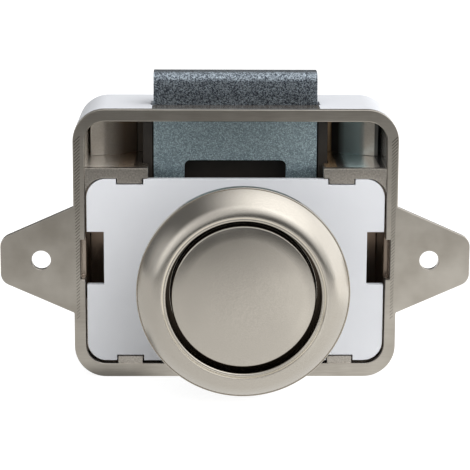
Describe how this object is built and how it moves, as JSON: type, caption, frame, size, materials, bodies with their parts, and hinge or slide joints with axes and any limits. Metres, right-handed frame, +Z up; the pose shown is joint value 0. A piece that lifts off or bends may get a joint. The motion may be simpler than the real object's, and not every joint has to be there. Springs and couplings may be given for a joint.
{
  "type": "push button cabinet lock",
  "caption": "Push button cabinet lock with a screwed case, a round button in a ring, and a steel bolt that rises from the top of the case.",
  "frame": {"origin": "midway between the two ear screw holes, on the face that lies against the door", "axes": "+X to the right seen from outside the door, +Y into the cabinet, +Z up, the way that the bolt rises"},
  "size_m": [0.0828, 0.0425, 0.0537],
  "materials": {
    "satin_nickel": "satin nickel plating on a zinc die casting",
    "zinc_plate": "bluish zinc plating with a fine spangle",
    "white_plastic": "smooth white moulding",
    "black_plastic": "matt black moulding",
    "steel": "bright steel"
  },
  "bodies": {
    "case": {"frame": "satin_nickel", "back_cover": "white_plastic", "front_plate": "white_plastic", "guide_sleeve": "black_plastic", "rosette": "satin_nickel", "bolt_guide": "black_plastic", "guide_screws": "steel", "guide_rod_left": "steel", "guide_rod_right": "steel", "bolt_spring_left": "steel", "bolt_spring_right": "steel", "button_spring": "steel", "follower_pin": "steel"},
    "button": {"button_cap": "satin_nickel", "plunger": "black_plastic", "button_screw": "steel"},
    "bolt": {"bolt": "zinc_plate", "carrier_left": "black_plastic", "carrier_right": "black_plastic", "cam_pin_left": "steel", "cam_pin_right": "steel", "rivets": "steel"},
    "follower": {"follower_lever": "steel", "follower_tip_pin": "steel"}
  },
  "joints": [
    {"name": "button_press", "type": "slide", "parent": "case", "child": "button", "axis": [0, -1, 0], "range_m": [-0.001, 0.009], "deforming": ["button_spring"]},
    {"name": "bolt_slide", "type": "slide", "parent": "case", "child": "bolt", "axis": [0, 0, -1], "range_m": [-0.0008, 0.0067], "deforming": ["bolt_spring_left", "bolt_spring_right"]},
    {"name": "follower_swing", "type": "hinge", "parent": "case", "child": "follower", "pos_m": [0, 0.015, -0.0104], "axis": [0, 0, 1], "range_deg": [-1.5, 12.2]}
  ],
  "couplings": [
    {"joint": "bolt_slide", "follows": "button_press", "ratio": 0.7333},
    {"joint": "follower_swing", "follows": "button_press", "rad_per_m": 23.271}
  ]
}
